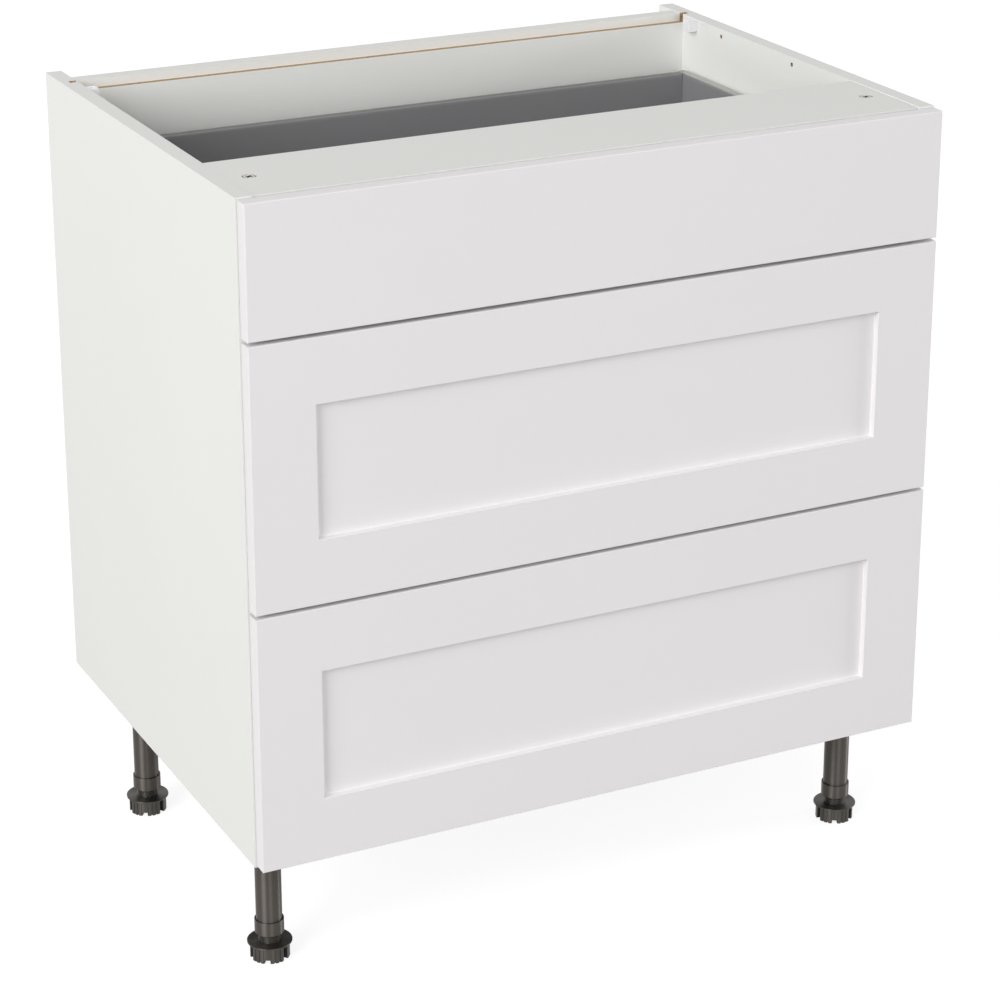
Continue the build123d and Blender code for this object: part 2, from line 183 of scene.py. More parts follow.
groups = {
    "tone": makeSurfaceTone(),
    "gloss": makeHandledGloss(),
    "peel": makeFinePeel(),
    "lines": makeDrawnLines(),
    "core": makeRawCore(),
    "wood": makePressedWood(),
}


def placeGroup(tree, key, inputs):
    return addNode(tree, "Group", inputs, node_tree=groups[key]).outputs


# One finish: colour with its drift, gloss with its spread, and a fine relief of peel or drawn lines
def makeFinish(name, look):
    material = bpy.data.materials.new(name)
    material.use_nodes = True
    tree = material.node_tree
    shader = tree.nodes["Principled BSDF"]
    tone = {"Color": look["color"], "Scale": look.get("toneScale", 5), "Spread": look["toneSpread"]}
    color = placeGroup(tree, "tone", tone)["Color"]
    gloss = {"Roughness": look["roughness"], "Spread": look.get("glossSpread", 0.04)}
    roughness = placeGroup(tree, "gloss", gloss)["Roughness"]
    if "stretch" in look:
        lines = {"Stretch": look["stretch"], "Scale": look["reliefScale"]}
        height = placeGroup(tree, "lines", lines)["Height"]
    else:
        height = placeGroup(tree, "peel", {"Scale": look["reliefScale"]})["Height"]
    bump = addNode(tree, "Bump", {"Height": height, "Distance": look["reliefDepth"], "Strength": 1})
    tree.links.new(color, shader.inputs["Base Color"])
    tree.links.new(roughness, shader.inputs["Roughness"])
    tree.links.new(bump.outputs["Normal"], shader.inputs["Normal"])
    shader.inputs["Metallic"].default_value = look.get("metallic", 0)
    shader.inputs["Specular IOR Level"].default_value = look.get("specular", 0.5)
    shader.inputs["Anisotropic"].default_value = look.get("anisotropy", 0)
    shader.inputs["Anisotropic Rotation"].default_value = look.get("anisotropyTurn", 0)
    return material


# A faced board: the finish outside, pressed wood where it is cut
def makeBoard(name, look, low, high):
    material = makeFinish(name, look)
    tree = material.node_tree
    shader = tree.nodes["Principled BSDF"]
    bump = tree.nodes["Bump"]
    mask = placeGroup(tree, "core", {"Low": low, "High": high, "Skin": look["skin"]})["Mask"]
    wood = placeGroup(tree, "wood", {"Light": look["woodLight"], "Dark": look["woodDark"]})
    faced = shader.inputs["Base Color"].links[0].from_socket
    tree.links.new(mixColor(tree, mask, faced, wood["Color"]), shader.inputs["Base Color"])
    gloss = shader.inputs["Roughness"].links[0].from_socket
    dulled = {0: mask, 1: look["cutDullness"], 2: gloss}
    duller = addNode(tree, "Math", dulled, operation="MULTIPLY_ADD")
    tree.links.new(duller.outputs[0], shader.inputs["Roughness"])
    rough = addNode(tree, "Math", {0: wood["Height"], 1: mask}, operation="MULTIPLY")
    rougher = {0: rough.outputs[0], 1: look["cutDepth"], 2: bump.inputs["Height"].links[0].from_socket}
    height = addNode(tree, "Math", rougher, operation="MULTIPLY_ADD")
    tree.links.new(height.outputs[0], bump.inputs["Height"])
    return material


whiteBoard = {
    "color": shade(233, 233, 230),
    "toneSpread": 0.006,
    "roughness": 0.66,
    "specular": 0.2,
    "reliefScale": 1100,
    "reliefDepth": 0.012 * mm,
    "woodLight": shade(192, 166, 126),
    "woodDark": shade(150, 122, 84),
    "skin": 0.2 * mm,
    "cutDullness": 0.35,
    "cutDepth": 12,
}

finishes = {
    "frontLacquer": {
        "color": shade(233, 230, 231),
        "toneSpread": 0.004,
        "roughness": 0.42,
        "specular": 0.4,
        "reliefScale": 420,
        "reliefDepth": 0.014 * mm,
    },
    "drawerBoard": {
        "color": shade(104, 104, 104),
        "toneSpread": 0.02,
        "roughness": 0.5,
        "reliefScale": 900,
        "reliefDepth": 0.02 * mm,
    },
    "drawerSteel": {
        "color": shade(138, 138, 140),
        "metallic": 0.1,
        "toneSpread": 0.012,
        "roughness": 0.42,
        "specular": 0.45,
        "reliefScale": 1400,
        "reliefDepth": 0.012 * mm,
    },
    # The top of the drawer sides, painted lighter as the sheen where light falls on it
    "drawerRimPaintedSheen": {
        "color": shade(188, 189, 184),
        "metallic": 1,
        "toneSpread": 0.012,
        "roughness": 0.24,
        "reliefScale": 1400,
        "reliefDepth": 0.008 * mm,
    },
    # The top of the drawer backs: the same rim, painted darker as the shade it stands in
    "drawerBackRimPaintedShade": {
        "color": shade(140, 139, 135),
        "metallic": 0.8,
        "toneSpread": 0.012,
        "roughness": 0.3,
        "reliefScale": 1400,
        "reliefDepth": 0.008 * mm,
    },
    "runnerSteel": {
        "color": shade(176, 178, 180),
        "metallic": 1,
        "toneScale": 60,
        "toneSpread": 0.08,
        "roughness": 0.34,
        "stretch": (40, 0.6, 40),
        "reliefScale": 30,
        "reliefDepth": 0.02 * mm,
    },
    "zinc": {
        "color": shade(200, 199, 196),
        "metallic": 1,
        "toneScale": 200,
        "toneSpread": 0.06,
        "roughness": 0.42,
        "reliefScale": 1800,
        "reliefDepth": 0.02 * mm,
    },
    # Walls and floors of the cross and crescent recesses of cams and screws, painted dark as the shade
    # inside them
    "zincPocketPaintedShade": {
        "color": shade(72, 70, 68),
        "metallic": 0.6,
        "toneScale": 300,
        "toneSpread": 0.1,
        "roughness": 0.6,
        "reliefScale": 1800,
        "reliefDepth": 0.03 * mm,
    },
    "screwSteel": {
        "color": shade(190, 188, 182),
        "metallic": 1,
        "toneScale": 150,
        "toneSpread": 0.05,
        "roughness": 0.26,
        "reliefScale": 2500,
        "reliefDepth": 0.01 * mm,
    },
    "beech": {
        "color": shade(205, 168, 124),
        "toneScale": 120,
        "toneSpread": 0.12,
        "roughness": 0.65,
        "stretch": (1, 30, 30),
        "reliefScale": 40,
        "reliefDepth": 0.1 * mm,
    },
    "whitePlastic": {
        "color": shade(236, 235, 238),
        "toneSpread": 0.01,
        "roughness": 0.36,
        "reliefScale": 1500,
        "reliefDepth": 0.01 * mm,
    },
    "legPlastic": {
        "color": shade(88, 84, 80),
        "metallic": 0.92,
        "toneScale": 30,
        "toneSpread": 0.03,
        "roughness": 0.46,
        "glossSpread": 0.02,
        "anisotropy": 0.95,
        "anisotropyTurn": 0.25,
        "stretch": (30, 30, 0.4),
        "reliefScale": 40,
        "reliefDepth": 0.008 * mm,
    },
    "footPlastic": {
        "color": shade(80, 77, 73),
        "metallic": 0.9,
        "toneScale": 40,
        "toneSpread": 0.04,
        "roughness": 0.42,
        "glossSpread": 0.02,
        "anisotropy": 0.8,
        "anisotropyTurn": 0.25,
        "reliefScale": 1200,
        "reliefDepth": 0.01 * mm,
    },
    # Inner, end and lower faces of the foot ring, painted dark as the shade inside it
    "footInsidePaintedShade": {
        "color": shade(44, 43, 42),
        "toneScale": 60,
        "toneSpread": 0.05,
        "roughness": 0.7,
        "specular": 0.2,
        "reliefScale": 900,
        "reliefDepth": 0.02 * mm,
    },
    "capPlastic": {
        "color": shade(120, 120, 121),
        "toneSpread": 0.01,
        "roughness": 0.42,
        "reliefScale": 1500,
        "reliefDepth": 0.012 * mm,
    },
}
surface = {name: makeFinish(name, look) for name, look in finishes.items()}
plainBoard = makeFinish("facedBoard", whiteBoard)
print("finishes made:", len(surface))


def coverNode(name, material):
    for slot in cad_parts[name].material_slots:
        slot.material = material


# Boards keep their CAD shape and show pressed wood in every groove and bore
for name in ("side_panel_left", "side_panel_right", "bottom_panel", "front_rail", "back_rail"):
    low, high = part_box(name)
    coverNode(name, makeBoard("facedBoard_" + name, whiteBoard, low, high))

# The edges of the back panel are left raw, so its box reaches far past them
low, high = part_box("back_panel")
far = 9
faced = makeBoard("facedBoard_back_panel", whiteBoard, (-far, low.y, -far), (far, high.y, far))
coverNode("back_panel", faced)
coverNode("cam_bolts", surface["screwSteel"])
coverNode("dowels", surface["beech"])
for level in drawers:
    coverNode("drawer_floor_" + level, surface["drawerBoard"])
    coverNode("front_brackets_" + level, surface["drawerSteel"])
    for side in sides:
        coverNode(f"drawer_rail_{level}_{side}", surface["runnerSteel"])
        coverNode(f"runner_slide_{level}_{side}", surface["runnerSteel"])
        coverNode(f"runner_base_{level}_{side}", surface["runnerSteel"])
print("boards and fittings covered")


# Rings of points, joined ring to ring into a skin
def addRings(shape, rings, capEnds=True, closeLoop=False, paint=0):
    rows = [[shape.verts.new(point) for point in ring] for ring in rings]
    faces = []
    count = len(rows[0])
    pairs = list(zip(rows, rows[1:]))
    if closeLoop:
        pairs.append((rows[-1], rows[0]))
    for near, far in pairs:
        for i in range(count):
            j = (i + 1) % count
            faces.append(shape.faces.new((near[i], near[j], far[j], far[i])))
    if capEnds:
        faces.append(shape.faces.new(rows[0][::-1]))
        faces.append(shape.faces.new(rows[-1]))
    for face in faces:
        face.material_index = paint
    return faces


def circle(radius, z, count, centre=(0, 0)):
    turns = [2 * math.pi * i / count for i in range(count)]
    return [(centre[0] + radius * math.cos(t), centre[1] + radius * math.sin(t), z) for t in turns]


# Fillets the corners of a line of points; the ends stay sharp
def roundCorners(points, radius, steps=4):
    corners = [Vector(point) for point in points]
    line = [corners[0]]
    for before, corner, after in zip(corners, corners[1:], corners[2:]):
        back = (before - corner).normalized()
        ahead = (after - corner).normalized()
        half = back.angle(ahead) / 2
        reach = radius / math.tan(half)
        centre = corner + (back + ahead).normalized() * radius / math.sin(half)
        start = corner + back * reach - centre
        end = corner + ahead * reach - centre
        line += [centre + start.slerp(end, i / steps) for i in range(steps + 1)]
    return line + [corners[-1]]


# Outline of a folded sheet that follows a line of points
def sheetOutline(line, thickness):
    left = []
    right = []
    for i, point in enumerate(line):
        before = line[max(i - 1, 0)]
        after = line[min(i + 1, len(line) - 1)]
        into = (point - before).normalized() if i else (after - point).normalized()
        out = (after - point).normalized() if i < len(line) - 1 else into
        along = (into + out).normalized()
        lean = max(along.dot(into), 0.3)  # keeps a sharp fold from growing a spike
        across = Vector((-along.y, along.x)) * thickness / 2 / lean
        left.append(point + across)
        right.append(point - across)
    return left + right[::-1]


def roundedRectangle(halfX, halfY, radius, z, centre=(0, 0), steps=6):
    ring = []
    for cornerX, cornerY, start in ((1, 1, 0), (-1, 1, 90), (-1, -1, 180), (1, -1, 270)):
        for i in range(steps + 1):
            turn = math.radians(start + 90 * i / steps)
            x = cornerX * (halfX - radius) + radius * math.cos(turn)
            y = cornerY * (halfY - radius) + radius * math.sin(turn)
            ring.append((centre[0] + x, centre[1] + y, z))
    return ring


# A circle with a point for each point of an outline around the same centre
def circleAlong(outline, centre, radius, z):
    ring = []
    for x, y, _ in outline:
        away = Vector((x - centre[0], y - centre[1])).normalized() * radius
        ring.append((centre[0] + away.x, centre[1] + away.y, z))
    return ring


def finishPiece(name, shape, materials, body, replaced=(), sharpAngle=35):
    bmesh.ops.recalc_face_normals(shape, faces=shape.faces)
    mesh = bpy.data.meshes.new(name)
    shape.to_mesh(mesh)
    shape.free()
    for material in materials:
        mesh.materials.append(material)
    for face in mesh.polygons:
        face.use_smooth = True
    mesh.set_sharp_from_angle(angle=math.radians(sharpAngle))
    piece = bpy.data.objects.new(name, mesh)
    bpy.context.scene.collection.objects.link(piece)
    evened = piece.modifiers.new("evenNormals", "WEIGHTED_NORMAL")
    evened.keep_sharp = True
    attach(piece, body)
    if replaced:
        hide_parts(*replaced)


frontShape = {
    "frameWidth": 70,
    "recessDepth": 6.5,
    "backArris": 0.4,
    "frameRound": 0.8,
    "slabRound": 1.1,
    "lipRound": 0.6,
    "recessFillet": 0.9,
    "recessLean": 0.5,  # the wall of the recess leans out a little
    "arcSteps": 5,
}


# Points of a quarter arc, as insets from the outline and heights above the back face
def quarterArc(centreInset, centreHeight, radius, start, end, steps):
    turns = [math.radians(start + (end - start) * i / steps) for i in range(steps + 1)]
    return [(centreInset + radius * math.cos(t), centreHeight + radius * math.sin(t)) for t in turns]


def frontSection(thickness, framed):
    s = frontShape
    rim = s["frameRound"] if framed else s["slabRound"]
    section = [(s["backArris"], 0), (0, s["backArris"])]
    section += quarterArc(rim, thickness - rim, rim, 180, 90, s["arcSteps"])
    if framed:
        field = thickness - s["recessDepth"]
        lip = s["lipRound"]
        fillet = s["recessFillet"]
        wall = s["frameWidth"]
        foot = wall + s["recessLean"] + fillet
        section += quarterArc(wall - lip, thickness - lip, lip, 90, 0, s["arcSteps"])
        section += quarterArc(foot, field + fillet, fillet, 180, 270, s["arcSteps"])
    return section


for level in drawers:
    low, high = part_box("front_" + level)
    thickness = (high.y - low.y) / mm
    shape = bmesh.new()
    rings = []
    for inset, height in frontSection(thickness, framed=level != "top"):
        x0, x1 = low.x + inset * mm, high.x - inset * mm
        z0, z1 = low.z + inset * mm, high.z - inset * mm
        y = high.y - height * mm
        rings.append([(x0, y, z0), (x1, y, z0), (x1, y, z1), (x0, y, z1)])
    faces = addRings(shape, rings)
    faces[-2].material_index = 1  # the back is faced like the carcass
    finishPiece(
        "drawerFront_" + level,
        shape,
        [surface["frontLacquer"], plainBoard],
        "drawer_" + level,
        ["front_" + level],
    )
print("drawer fronts made")


boxShape = {
    "wall": 12.5,
    "sheet": 1.0,
    "topRound": 1.6,
    "footRound": 1.2,
    "seamWidth": 1.0,
    "seamDepth": 0.7,
    "rimDepth": 0.9,  # how far down the painted rim runs over the rounded top: painted sheen on the sides, painted shade on the backs
    "flatDrop": 5,  # from the top down to a point on the flat of the wall
    "flangeWidth": 24.5,
    "footReturn": 9.5,  # how far the outer skin turns in under the wall
    "capWidth": 34,
    "capHeight": 15,
    "capSunk": 0.2,
    "capEdge": 0.5,
    "capFlat": 0.01,  # keeps a short straight stretch at its round ends
    "capProud": 0.9,
    "capFromFront": 46,
    "capRise": 46,
    "capOverMiddle": 8,  # in the low sides, where the full rise would reach the top
}


# The folded sheet of a double wall, across from its outer face and up from its foot
def wallLine(height, flange):
    s = boxShape
    half = s["sheet"] / 2
    outer = half
    inner = s["wall"] - half
    top = height - half
    middle = s["wall"] / 2
    seam = s["seamWidth"] / 2
    flat = top - s["flatDrop"]
    dipped = top - s["seamDepth"]
    start = (inner + flange, half) if flange else (middle + seam, half)
    rise = roundCorners([start, (inner, half), (inner, flat)], s["footRound"])
    crown = roundCorners([(inner, flat), (inner, top), (middle + seam, top)], s["topRound"])
    dip = [Vector((middle + seam / 2, dipped)), Vector((middle - seam / 2, dipped))]
    shoulder = roundCorners([(middle - seam, top), (outer, top), (outer, flat)], s["topRound"])
    fall = roundCorners([(outer, flat), (outer, half), (s["footReturn"], half)], s["footRound"])
    return rise + crown[1:] + dip + shoulder + fall[1:]


# Puts the top of a wall in its own finish: a lighter painted sheen on the drawer sides and a darker
# painted shade on the backs
def paintRimSheenAndShade(faces, top, paint):
    for face in faces:
        if min(vertex.co.z for vertex in face.verts) > top - boxShape["rimDepth"] * mm:
            face.material_index = paint


# The cover over the screw of a bracket, on the inside of a drawer side
def addCap(shape, side, wallX, y, z, paint):
    s = boxShape
    half = s["capHeight"] / 2
    edge = s["capEdge"]
    rings = []
    for grow, proud in ((0, -s["capSunk"]), (0, edge), (-edge, s["capProud"])):
        corner = half + grow - s["capFlat"]
        outline = roundedRectangle(s["capWidth"] / 2 + grow, half + grow, corner, 0)
        x = wallX - side * proud * mm
        rings.append([(x, y + along * mm, z + up * mm) for along, up, _ in outline])
    addRings(shape, rings, paint=paint)


for level in drawers:
    for sideName, side in sides.items():
        node = f"drawer_side_{level}_{sideName}"
        low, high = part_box(node)
        height = (high.z - low.z) / mm
        outerX = max(abs(low.x), abs(high.x))
        outline = sheetOutline(wallLine(height, boxShape["flangeWidth"]), boxShape["sheet"])
        shape = bmesh.new()
        ends = [
            [(side * (outerX - point.x * mm), y, low.z + point.y * mm) for point in outline]
            for y in (low.y, high.y)
        ]
        paintRimSheenAndShade(addRings(shape, ends), high.z, 2)
        capZ = low.z + min(boxShape["capRise"], height / 2 + boxShape["capOverMiddle"]) * mm
        wallX = side * (outerX - boxShape["wall"] * mm)
        addCap(shape, side, wallX, low.y + boxShape["capFromFront"] * mm, capZ, 1)
        finishPiece(
            f"drawerSide_{level}_{sideName}",
            shape,
            [surface["drawerSteel"], surface["capPlastic"], surface["drawerRimPaintedSheen"]],
            "drawer_" + level,
            [node],
        )
    node = "drawer_back_" + level
    low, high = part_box(node)
    outline = sheetOutline(wallLine((high.z - low.z) / mm, 0), boxShape["sheet"])
    shape = bmesh.new()
    ends = [
        [(x, high.y - point.x * mm, low.z + point.y * mm) for point in outline]
        for x in (low.x, high.x)
    ]
    paintRimSheenAndShade(addRings(shape, ends), high.z, 1)
    finishPiece(
        "drawerBack_" + level,
        shape,
        [surface["drawerSteel"], surface["drawerBackRimPaintedShade"]],
        "drawer_" + level,
        [node],
    )
print("drawer boxes made")


# Outline of a cross recess, for screws and cams
def crossOutline(length, width, z):
    a, b = length / 2, width / 2
    quarter = [(a, -b), (a, b), (b, b)]
    ring = []
    for turn in range(4):
        spin = Matrix.Rotation(math.radians(90 * turn), 2)
        ring += [spin @ Vector(point) for point in quarter]
    return [(point.x, point.y, z) for point in ring]


def ringEdges(shape, points):
    corners = [shape.verts.new(point) for point in points]
    edges = [shape.edges.new((a, b)) for a, b in zip(corners, corners[1:] + corners[:1])]
    return corners, edges


# A pocket under a hole in a flat face, in the second finish of its piece, which paints the pocket dark
# as shade
def sinkPocket(shape, corners, endPoints):
    end = [shape.verts.new(point) for point in endPoints]
    for i, corner in enumerate(corners):
        j = (i + 1) % len(corners)
        wall = shape.faces.new((corner, corners[j], end[j], end[i]))
        wall.material_index = 1
    shape.faces.new(end).material_index = 1


# A disc that faces +Z at height 0, with pockets and a body below its rim
def addRecessedDisc(shape, radius, pockets, body, place, count):
    before = set(shape.verts)
    rim, edges = ringEdges(shape, circle(radius, 0, count))
    for mouth, end in pockets:
        corners, more = ringEdges(shape, mouth)
        edges += more
        sinkPocket(shape, corners, end)
    bmesh.ops.triangle_fill(shape, use_beauty=True, edges=edges, normal=(0, 0, 1))
    last = rim
    for ringRadius, z in body:
        row = [shape.verts.new(point) for point in circle(ringRadius, z, count)]
        for i in range(count):
            j = (i + 1) % count
            shape.faces.new((last[i], last[j], row[j], row[i]))
        last = row
    shape.faces.new(last)
    fresh = [vertex for vertex in shape.verts if vertex not in before]
    bmesh.ops.transform(shape, matrix=place, verts=fresh)


screwShape = {
    "headRadius": 3.9,
    "headLip": 0.15,
    "headEdge": 0.3,
    "crossLength": 4.6,
    "crossWidth": 1.1,
    "crossDepth": 1.7,
    "endLength": 0.5,  # size of the recess at its end, as a share of its mouth
    "endWidth": 0.45,
    "shankRadius": 1.9,
    "headHeight": 2.4,
    "length": 14,
    "count": 28,
}


def addScrew(shape, place):
    s = screwShape
    mouth = crossOutline(s["crossLength"] * mm, s["crossWidth"] * mm, 0)
    length, width = s["endLength"] * s["crossLength"] * mm, s["endWidth"] * s["crossWidth"] * mm
    end = crossOutline(length, width, -s["crossDepth"] * mm)
    body = [
        (s["headRadius"] * mm, -s["headEdge"] * mm),
        (s["shankRadius"] * mm, -s["headHeight"] * mm),
        (s["shankRadius"] * mm, -s["length"] * mm),
    ]
    face = (s["headRadius"] - s["headLip"]) * mm
    addRecessedDisc(shape, face, [(mouth, end)], body, place, s["count"])


camShape = {
    "fromMiddle": 358,
    "railY": -205.5,
    "bottomY": (-123, 107),
    "radius": 7.5,
    "lip": 0.25,
    "height": 12.7,
    "sink": 0.3,
    "crossLength": 8.4,
    "crossWidth": 2.5,
    "crossDepth": 4.5,
    "crossTurn": 45,
    "endShare": 0.8,  # size of the recess at its end, as a share of its mouth
    "crescentInner": 5.9,
    "crescentOuter": 6.8,
    "crescentSpan": 76,
    "crescentDepth": 1.0,
    "crescentSteps": 12,
    "count": 48,
}


def crescent(turn, z):
    s = camShape
    steps = s["crescentSteps"]
    spread = [turn + s["crescentSpan"] * (i / steps - 0.5) for i in range(steps + 1)]
    outer = [(s["crescentOuter"], math.radians(t)) for t in spread]
    inner = [(s["crescentInner"], math.radians(t)) for t in reversed(spread)]
    return [(r * math.cos(t) * mm, r * math.sin(t) * mm, z) for r, t in outer + inner]


def camPockets():
    s = camShape
    share = s["endShare"]
    mouth = crossOutline(s["crossLength"] * mm, s["crossWidth"] * mm, 0)
    length, width = share * s["crossLength"] * mm, share * s["crossWidth"] * mm
    end = crossOutline(length, width, -s["crossDepth"] * mm)
    turned = Matrix.Rotation(math.radians(s["crossTurn"]), 3, "Z")
    pockets = [([turned @ Vector(p) for p in mouth], [turned @ Vector(p) for p in end])]
    for turn in (0, 180):
        pockets.append((crescent(turn, 0), crescent(turn, -s["crescentDepth"] * mm)))
    return pockets


def addCam(shape, spot, flip):
    s = camShape
    sunk = Vector((0, 0, s["sink"] * mm * (-1 if flip == 0 else 1)))
    place = Matrix.Translation(spot + sunk) @ Matrix.Rotation(math.radians(flip), 4, "X")
    radius = s["radius"] * mm
    body = [(radius, -s["lip"] * mm), (radius, -s["height"] * mm)]
    face = (s["radius"] - s["lip"]) * mm
    addRecessedDisc(shape, face, camPockets(), body, place, s["count"])


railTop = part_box("front_rail")[1].z
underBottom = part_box("bottom_panel")[0].z
shape = bmesh.new()
for side in sides.values():
    x = side * camShape["fromMiddle"] * mm
    addCam(shape, Vector((x, camShape["railY"] * mm, railTop)), 0)
    for y in camShape["bottomY"]:
        addCam(shape, Vector((x, y * mm, underBottom)), 180)
finishPiece(
    "camDiscs",
    shape,
    [surface["zinc"], surface["zincPocketPaintedShade"]],
    "carcass",
    ["cam_locks"],
)
print("cam discs made")

# Screws that hold the cabinet members of the runners to the side panels
runnerScrews = {
    "fromFront": (34, 226, 450),
    "rise": 13,
    "web": 1.5,
    "proud": 1.2,
}
shape = bmesh.new()
for level in drawers:
    for sideName, side in sides.items():
        low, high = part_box(f"runner_base_{level}_{sideName}")
        outer = max(abs(low.x), abs(high.x))
        x = side * (outer - (runnerScrews["web"] + runnerScrews["proud"]) * mm)
        inward = Matrix.Rotation(math.radians(-90 * side), 4, "Y")
        for reach in runnerScrews["fromFront"]:
            spot = (x, low.y + reach * mm, low.z + runnerScrews["rise"] * mm)
            addScrew(shape, Matrix.Translation(spot) @ inward)
# The cross recesses of the screws are painted dark as shade
screwFinishes = [surface["screwSteel"], surface["zincPocketPaintedShade"]]
finishPiece("runnerScrews", shape, screwFinishes, "carcass")
print("runner screws made")


blockShape = {
    "halfX": 6,
    "halfY": 7,
    "round": 0.9,
    "holeRadius": 2.25,
    "sinkRadius": 3.8,
    "sinkDepth": 1.8,
}

low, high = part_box("worktop_blocks")
outer = max(abs(low.x), abs(high.x))
halfX, halfY = blockShape["halfX"] * mm, blockShape["halfY"] * mm
r = blockShape["round"] * mm
hole = blockShape["holeRadius"] * mm
sink = blockShape["sinkRadius"] * mm
shape = bmesh.new()
for side in sides.values():
    centre = (side * (outer - halfX), (low.y + high.y) / 2)
    top = roundedRectangle(halfX - r / 2, halfY - r / 2, r, high.z, centre)
    rings = [
        circleAlong(top, centre, hole, low.z),
        roundedRectangle(halfX - r / 2, halfY - r / 2, r, low.z, centre),
        roundedRectangle(halfX, halfY, r, low.z + r / 2, centre),
        roundedRectangle(halfX, halfY, r, high.z - r / 2, centre),
        top,
        circleAlong(top, centre, sink, high.z),
        circleAlong(top, centre, hole, high.z - blockShape["sinkDepth"] * mm),
    ]
    addRings(shape, rings, capEnds=False, closeLoop=True)
finishPiece(
    "worktopBlocks",
    shape,
    [surface["whitePlastic"]],
    "carcass",
    ["worktop_blocks"],
)
print("worktop blocks made")


tubeShape = {
    "radius": 14.25,
    "bore": 12.5,
    "collarRadius": 16.0,
    "collarHeight": 16.0,
    "collarRound": 0.5,
    "grooveWidth": 0.75,
    "grooveFloor": 0.1,
    "grooveDepth": 1.6,
    "arcMiddle": 0.3,  # share of a radius at the middle of its rounding
    "count": 96,
}
socketShape = {
    "plate": 3.0,
    "plateHalfX": 32.0,
    "plateHalfY": 29.0,
    "plateCorner": 8.0,
    "plateShift": 7.0,
    "bossHalf": 19.0,
    "bossCorner": 8.0,
    "bossLean": 0.8,
    "bossSunk": 0.2,
    "arris": 0.5,
    "mouth": 14.45,
    "mouthLip": 1.2,
    "ribTurns": (45, 135, 225, 315, 90, 270),
    "ribCorner": 1.17,  # reach of the boss at its rounded corners, as a share of its half width
    "ribInset": 1.2,
    "ribSunk": 0.1,
    "ribThickness": 2.2,
    "ribReach": 9.0,
    "ribDrop": 15.0,
    "screwHalfX": 25.5,
    "screwHalfY": 22.5,
    "screwProud": 0.15,
    "cornerSteps": 8,
}


def addTube(shape, centre, low, high):
    s = tubeShape
    collarTop = low + s["collarHeight"] * mm
    r = s["collarRound"] * mm
    outer = s["collarRadius"] * mm
    tube = s["radius"] * mm
    bore = s["bore"] * mm
    lip = tube + s["grooveWidth"] * mm
    cut = s["arcMiddle"] * r
    section = [
        (bore, low + r),
        (bore + r, low),
        (outer - r, low),
        (outer, low + r),
        (outer, collarTop - r),
        (outer - cut, collarTop - cut),
        (outer - r, collarTop),
        (lip, collarTop),
        (tube + s["grooveFloor"] * mm, collarTop - s["grooveDepth"] * mm),
        (tube, collarTop),
        (tube, high),
        (bore, high),
    ]
    rings = [circle(radius, z, s["count"], centre) for radius, z in section]
    addRings(shape, rings, capEnds=False, closeLoop=True)


# A thin web between the plate and the boss
def addRib(shape, root, out, drop, reach, thickness):
    across = Vector((-out.y, out.x, 0)) * thickness / 2
    tip = root + out * reach
    foot = root - Vector((0, 0, drop))
    rings = [[root + k * across, tip + k * across, foot + k * across] for k in (-1, 1)]
    addRings(shape, rings)


def addSocket(shape, centre, side, low, high):
    s = socketShape
    shift = (centre[0] - side * s["plateShift"] * mm, centre[1])
    under = high - s["plate"] * mm
    corner = s["plateCorner"] * mm
    halfX, halfY = s["plateHalfX"] * mm, s["plateHalfY"] * mm
    arris = s["arris"] * mm
    steps = s["cornerSteps"]
    plate = [
        roundedRectangle(halfX, halfY, corner, high, shift, steps),
        roundedRectangle(halfX, halfY, corner, under + arris, shift, steps),
        roundedRectangle(halfX - arris, halfY - arris, corner, under, shift, steps),
    ]
    addRings(shape, plate)
    half = s["bossHalf"] * mm
    leaned = half - s["bossLean"] * mm
    bossCorner = s["bossCorner"] * mm
    bossTop = under + s["bossSunk"] * mm
    mouth = s["mouth"] * mm
    foot = roundedRectangle(leaned, leaned, bossCorner, low + arris, centre, steps)
    boss = [
        roundedRectangle(half, half, bossCorner, bossTop, centre, steps),
        foot,
        roundedRectangle(leaned - arris, leaned - arris, bossCorner, low, centre, steps),
        circleAlong(foot, centre, (s["mouth"] + s["mouthLip"]) * mm, low),
        circleAlong(foot, centre, mouth, low + s["mouthLip"] * mm),
        circleAlong(foot, centre, mouth, bossTop),
    ]
    addRings(shape, boss, capEnds=False, closeLoop=True)
    for turn in (*s["ribTurns"], 0 if side < 0 else 180):
        out = Vector((math.cos(math.radians(turn)), math.sin(math.radians(turn)), 0))
        reachIn = half * (s["ribCorner"] if turn % 90 else 1) - s["ribInset"] * mm
        root = Vector((*centre, under + s["ribSunk"] * mm)) + out * reachIn
        addRib(shape, root, out, s["ribDrop"] * mm, s["ribReach"] * mm, s["ribThickness"] * mm)


